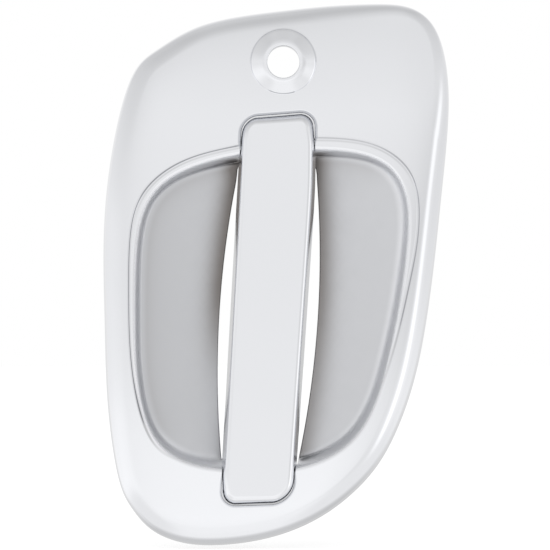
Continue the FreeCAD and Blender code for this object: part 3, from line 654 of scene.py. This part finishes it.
def grip_cap():
    """The grip's cap, from loops that follow its foot."""
    aims = units(grip_sides(GRIP_STEP))
    loops = [ring_of_rays(outside_grip, np.zeros(2), aims, -inset) for inset in GRIP_INSETS]
    spots, faces = triangulated(loops, loose_grid(*GRIP_GRID))
    spots, faces = trimmed(spots, faces, outside_grip(spots[faces].mean(axis=1)) < 0)
    field = GripField(spots)
    field.foot = np.maximum(field.foot, 0)
    heights = np.maximum(level(cap, field), GRIP_FOOT)
    backs = np.maximum(level(cap_behind, field), GRIP_FOOT)
    heights = np.where(field.foot < ON_EDGE, GRIP_FOOT, heights)
    normals = normals_of(cap, field, heights)
    turned = np.stack([*leaned(normals[:, 0], normals[:, 1]), normals[:, 2]], axis=1)
    finish = [BRIGHT] * len(faces)
    piece = shell_mesh("grip_plating", out_of_grip_frame(spots), faces, heights, backs, turned, finish)
    # Painted shade on the grip's walls: darker below its face, where shade falls between grip and surround,
    # less so towards its ends.
    ends = SHADE_GRIP_END * smooth_step(np.abs(spots[:, 1]), *SHADE_GRIP_END_FADE)
    painted_shade(piece, (1 - smooth_step(heights, *SHADE_GRIP_HEIGHTS)) * (1 - ends))
    return piece


def linear(code):
    """A colour written as sRGB hex, as the shaders need it."""
    values = [int(code[i:i + 2], 16) / 255 for i in (1, 3, 5)]
    return tuple(v / 12.92 if v <= 0.04045 else ((v + 0.055) / 1.055) ** 2.4 for v in values) + (1.0,)


def add_node(tree, kind, settings=None, stops=(), **inputs):
    """Adds a node with its settings and colour stops, and its inputs as values or as other nodes' outputs."""
    node = tree.nodes.new(kind)
    for key, value in (settings or {}).items():
        setattr(node, key, value)
    if stops:
        elements = node.color_ramp.elements
        while len(elements) < len(stops):
            elements.new(0.5)
        for element, (position, colour) in zip(elements, stops):
            element.position = position
            element.color = colour
    for key, value in inputs.items():
        numbered = key[0] == "i" and key[1:].isdigit()
        socket = node.inputs[int(key[1:]) if numbered else key.replace("_", " ")]
        if isinstance(value, bpy.types.NodeSocket):
            tree.links.new(value, socket)
        else:
            socket.default_value = value
    return node


def empty_tree(owner):
    """The node tree of a new material or world, with nothing in it."""
    owner.use_nodes = True
    owner.node_tree.nodes.clear()
    return owner.node_tree


# Patterns of the finishes, as so many to the metre: the plating waves every 36 mm, and the foam's
# cells are 0.8 mm wide.
WAVES = 28.0
FOAM_CELLS = 1250.0
SHADE_ENOUGH = 0.3           # from this much painted shade on, no extra roughness is added


def plated_abs(name, colours_by_shade, smoothest, roughest, matte, patches):
    """Chrome on moulded ABS: a mirror with a faint waviness and patches of haze, so many to the metre.

    Its colour darkens with the painted shade stored on the shell, shade painted into recesses and
    creases, and matte is the extra roughness where no shade is painted.
    """
    material = bpy.data.materials.new(name)
    tree = empty_tree(material)
    place = add_node(tree, "ShaderNodeTexCoord").outputs["Object"]
    shade_share = add_node(tree, "ShaderNodeAttribute", {"attribute_name": "painted_shade"}).outputs["Fac"]
    wave = add_node(tree, "ShaderNodeTexNoise", Vector=place, Scale=WAVES, Detail=1.0, Roughness=0.4)
    haze = add_node(tree, "ShaderNodeTexNoise", Vector=place, Scale=patches, Detail=4.0, Roughness=0.6)
    spread = add_node(tree, "ShaderNodeMapRange", Value=haze.outputs["Fac"], From_Min=0.3, From_Max=0.7,
                      To_Min=smoothest, To_Max=roughest)
    wall = add_node(tree, "ShaderNodeMapRange", Value=shade_share, From_Max=SHADE_ENOUGH, To_Min=matte, To_Max=0.0)
    rough = add_node(tree, "ShaderNodeMath", {"operation": "ADD"}, i0=spread.outputs["Result"],
                     i1=wall.outputs["Result"])
    # Painted shade: the colour darkens along these stops where the shell's painted shade is stored.
    shade_tint = add_node(tree, "ShaderNodeValToRGB", stops=[(share, linear(code)) for share, code in colours_by_shade],
                    Fac=shade_share)
    bump = add_node(tree, "ShaderNodeBump", Height=wave.outputs["Fac"], Strength=0.25, Distance=0.0004)
    shader = add_node(tree, "ShaderNodeBsdfPrincipled", Base_Color=shade_tint.outputs["Color"], Metallic=1.0,
                      Roughness=rough.outputs[0], Normal=bump.outputs["Normal"])
    add_node(tree, "ShaderNodeOutputMaterial", Surface=shader.outputs["BSDF"])
    return material


def foam(name):
    """Closed-cell foam tape: soft, dark and matte. Its cells are about 0.3 mm wide, drawn wider to show."""
    material = bpy.data.materials.new(name)
    tree = empty_tree(material)
    place = add_node(tree, "ShaderNodeTexCoord").outputs["Object"]
    cells = add_node(tree, "ShaderNodeTexVoronoi", Vector=place, Scale=FOAM_CELLS)
    shade = add_node(tree, "ShaderNodeValToRGB", stops=[(0, linear("#2B2B2C")), (1, linear("#1B1B1C"))],
                     Fac=cells.outputs["Distance"])
    bump = add_node(tree, "ShaderNodeBump", Height=cells.outputs["Distance"], Strength=0.6, Distance=0.0003)
    shader = add_node(tree, "ShaderNodeBsdfPrincipled", Base_Color=shade.outputs["Color"], Roughness=0.85,
                      Normal=bump.outputs["Normal"])
    add_node(tree, "ShaderNodeOutputMaterial", Surface=shader.outputs["BSDF"])
    return material


# The studio as the chrome sees it. Its brightness goes by height, from straight down to straight up.
BY_HEIGHT = (
    (0.00, 1.00), (0.06, 1.02), (0.26, 1.03), (0.34, 1.08), (0.41, 1.05), (0.46, 0.97), (0.50, 0.93),
    (0.57, 0.94), (0.61, 0.95), (0.66, 0.88), (0.72, 0.84), (0.80, 0.81), (0.89, 0.76), (0.97, 0.67),
    (1.00, 0.62),
)

# Level with the cover it also goes by side, all the way round from behind, with straight ahead at 0.5.
BY_SIDE = (
    (0.00, 0.90), (0.08, 0.98), (0.22, 1.02), (0.36, 0.99), (0.43, 0.96), (0.47, 1.00), (0.52, 1.00),
    (0.55, 0.91), (0.575, 0.84), (0.63, 0.84), (0.655, 0.98), (0.68, 1.24), (0.71, 1.24), (0.74, 0.96),
    (0.79, 0.90), (1.00, 0.90),
)

# Between these heights of a direction the sides set in from below and fade out above. Beyond them
# the studio dims to UPPER_SIDE towards left and right, and to BEHIND_LOW behind and below the cover.
SIDES_FROM, SIDES_TO = (-0.62, -0.36), (0.06, 0.24)
UPPER_SIDE, UPPER_SIDE_FADE = 0.9, (0.22, 0.5)
BEHIND_LOW, BEHIND_LOW_FADE, BEHIND_LOW_AIM = 0.65, (0.65, 0.95), (0.0, 0.75, -0.66)


def studio_world():
    """White to the camera; to the chrome, a pale studio with a bright tall window at the right."""
    world = bpy.data.worlds.new("studio")
    bpy.context.scene.world = world
    tree = empty_tree(world)
    smooth = {"interpolation_type": "SMOOTHSTEP"}
    times = {"data_type": "RGBA", "blend_type": "MULTIPLY"}
    by_height, by_side = ([(place, (value, value, value, 1)) for place, value in stops]
                          for stops in (BY_HEIGHT, BY_SIDE))
    aim = add_node(tree, "ShaderNodeTexCoord").outputs["Generated"]
    parts = add_node(tree, "ShaderNodeSeparateXYZ", Vector=aim)
    height = add_node(tree, "ShaderNodeMapRange", Value=parts.outputs["Z"], From_Min=-1.0, From_Max=1.0)
    ahead = add_node(tree, "ShaderNodeMath", {"operation": "MULTIPLY"}, i0=parts.outputs["Y"], i1=-1.0)
    turn = add_node(tree, "ShaderNodeMath", {"operation": "ARCTAN2"}, i0=parts.outputs["X"],
                    i1=ahead.outputs[0])
    side = add_node(tree, "ShaderNodeMapRange", Value=turn.outputs[0], From_Min=-math.pi, From_Max=math.pi)
    level_light = add_node(tree, "ShaderNodeValToRGB", stops=by_height, Fac=height.outputs["Result"])
    side_light = add_node(tree, "ShaderNodeValToRGB", stops=by_side, Fac=side.outputs["Result"])
    below_top = add_node(tree, "ShaderNodeMapRange", smooth, Value=parts.outputs["Z"],
                         From_Min=SIDES_TO[0], From_Max=SIDES_TO[1], To_Min=1.0, To_Max=0.0)
    above_floor = add_node(tree, "ShaderNodeMapRange", smooth, Value=parts.outputs["Z"],
                           From_Min=SIDES_FROM[0], From_Max=SIDES_FROM[1])
    beside = add_node(tree, "ShaderNodeMath", {"operation": "MULTIPLY"}, i0=below_top.outputs["Result"],
                      i1=above_floor.outputs["Result"])
    sideways = add_node(tree, "ShaderNodeMath", {"operation": "ABSOLUTE"}, i0=parts.outputs["X"])
    upper_side = add_node(tree, "ShaderNodeMapRange", smooth, Value=sideways.outputs[0],
                          From_Min=UPPER_SIDE_FADE[0], From_Max=UPPER_SIDE_FADE[1],
                          To_Min=1.0, To_Max=UPPER_SIDE)
    around = add_node(tree, "ShaderNodeMix", {"data_type": "RGBA"}, i0=beside.outputs[0],
                      i6=upper_side.outputs["Result"], i7=side_light.outputs["Color"])
    lit = add_node(tree, "ShaderNodeMix", times, i0=1.0, i6=level_light.outputs["Color"],
                   i7=around.outputs[2])
    behind_low = add_node(tree, "ShaderNodeVectorMath", {"operation": "DOT_PRODUCT"}, i0=aim,
                          i1=BEHIND_LOW_AIM)
    shade = add_node(tree, "ShaderNodeMapRange", smooth, Value=behind_low.outputs["Value"],
                     From_Min=BEHIND_LOW_FADE[0], From_Max=BEHIND_LOW_FADE[1],
                     To_Min=1.0, To_Max=BEHIND_LOW)
    shaded = add_node(tree, "ShaderNodeMix", times, i0=1.0, i6=lit.outputs[2], i7=shade.outputs["Result"])
    studio = add_node(tree, "ShaderNodeBackground", Color=shaded.outputs[2], Strength=1.0)
    white = add_node(tree, "ShaderNodeBackground", Color=(1, 1, 1, 1), Strength=1.0)
    seen = add_node(tree, "ShaderNodeLightPath").outputs["Is Camera Ray"]
    both = add_node(tree, "ShaderNodeMixShader", i0=seen, i1=studio.outputs[0], i2=white.outputs[0])
    add_node(tree, "ShaderNodeOutputWorld", Surface=both.outputs[0])


# The floor, in metres, and how pale its paint is. The camera sees it brighter by FLOOR_GLOW, so that
# it is white where no shadow falls.
FLOOR_REACH, FLOOR_HEIGHT = 3, -0.2135
FLOOR_PALE, FLOOR_GLOW = 0.6, 0.6


def pale_floor():
    """A pale floor under the cover: white to the camera where no shadow falls, and no light on the chrome."""
    mesh = bpy.data.meshes.new("floor")
    corners = [(x * FLOOR_REACH, y * FLOOR_REACH, FLOOR_HEIGHT)
               for x, y in ((-1, -1), (1, -1), (1, 1), (-1, 1))]
    mesh.from_pydata(corners, [], [(0, 1, 2, 3)])
    floor = linked("floor", mesh)
    floor.visible_glossy = False
    material = bpy.data.materials.new("pale_floor")
    tree = empty_tree(material)
    paint = add_node(tree, "ShaderNodeBsdfDiffuse", Color=(FLOOR_PALE, FLOOR_PALE, FLOOR_PALE, 1))
    seen = add_node(tree, "ShaderNodeLightPath").outputs["Is Camera Ray"]
    glow = add_node(tree, "ShaderNodeMath", {"operation": "MULTIPLY"}, i0=seen, i1=FLOOR_GLOW)
    light = add_node(tree, "ShaderNodeEmission", Color=(1, 1, 1, 1), Strength=glow.outputs[0])
    both = add_node(tree, "ShaderNodeAddShader", i0=paint.outputs[0], i1=light.outputs[0])
    add_node(tree, "ShaderNodeOutputMaterial", Surface=both.outputs[0])
    mesh.materials.append(material)


# The middle of the cover, in metres, which the lamps point at.
LAMP_TARGET = (0, 0, -0.1)


def soft_lamp(name, place, size, power):
    """A large square lamp that points at the middle of the cover."""
    light = bpy.data.lights.new(name, "AREA")
    light.shape = "SQUARE"
    light.size = size
    light.energy = power
    lamp = linked(name, light)
    lamp.location = place
    lamp.rotation_euler = (Vector(LAMP_TARGET) - Vector(place)).to_track_quat("-Z", "Y").to_euler()
    lamp.visible_glossy = False


# The show side's plating reflects like a mirror. In the bowl it is satin, and on the back, which
# isn't polished, it scatters the light widely.
# Each finish runs from its own colour to painted shade, by the painted shade stored on the shell; the satin's
# last, brownish grey is painted shade too.
bright = plated_abs("bright_chrome_on_abs", ((0, "#EDEEF1"), (1, "#BDBEC1")), 0.05, 0.09, 0.0, 160.0)
satin = plated_abs("satin_chrome_on_abs", ((0, "#F6F7FA"), (0.32, "#D5D6D9"), (1, "#8E8986")),
                   0.30, 0.36, 0.3, 220.0)
plain_back = plated_abs("unpolished_chrome_on_abs", ((0, "#C9CACC"), (1, "#B9BABC")), 0.38, 0.5, 0.0, 120.0)
foam_tape = foam("foam_tape")

bezel = surround()
for material in (bright, satin, plain_back):
    bezel.data.materials.append(material)
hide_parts("bezel_cover")
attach(bezel, "root")

grip = grip_cap()
for material in (bright, satin, plain_back):
    grip.data.materials.append(material)
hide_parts("grip_cover")
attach(grip, "root")

for node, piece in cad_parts.items():
    if "tape" in node:
        piece.data.materials.clear()
        piece.data.materials.append(foam_tape)

studio_world()
pale_floor()
soft_lamp("soft_lamp_left", (-1.6, -0.9, 0.5), 0.9, 6)
soft_lamp("soft_lamp_right", (1.5, -1.0, 0.3), 0.7, 5)

# The camera looks straight at the cover's middle from CAMERA_AWAY metres in front of the lock, and
# its picture is PICTURE_MM wide there.
CAMERA_AWAY, SENSOR_MM = 1.5, 36.0
PICTURE_PIXELS, PIXEL_MM = 550, 0.44
PICTURE_MM = PICTURE_PIXELS * PIXEL_MM
PICTURE_MIDDLE = (-0.00365, -0.0928)
camera_data = bpy.data.cameras.new("camera")
camera_data.sensor_fit = "HORIZONTAL"
camera_data.sensor_width = SENSOR_MM
camera_data.lens = SENSOR_MM * CAMERA_AWAY / (PICTURE_MM / 1000)
camera = linked("camera", camera_data)
camera.location = (PICTURE_MIDDLE[0], LOCK_FRONT / 1000 - CAMERA_AWAY, PICTURE_MIDDLE[1])
camera.rotation_euler = (math.radians(90), 0, 0)
bpy.context.scene.camera = camera
bpy.context.scene.view_settings.view_transform = "Standard"
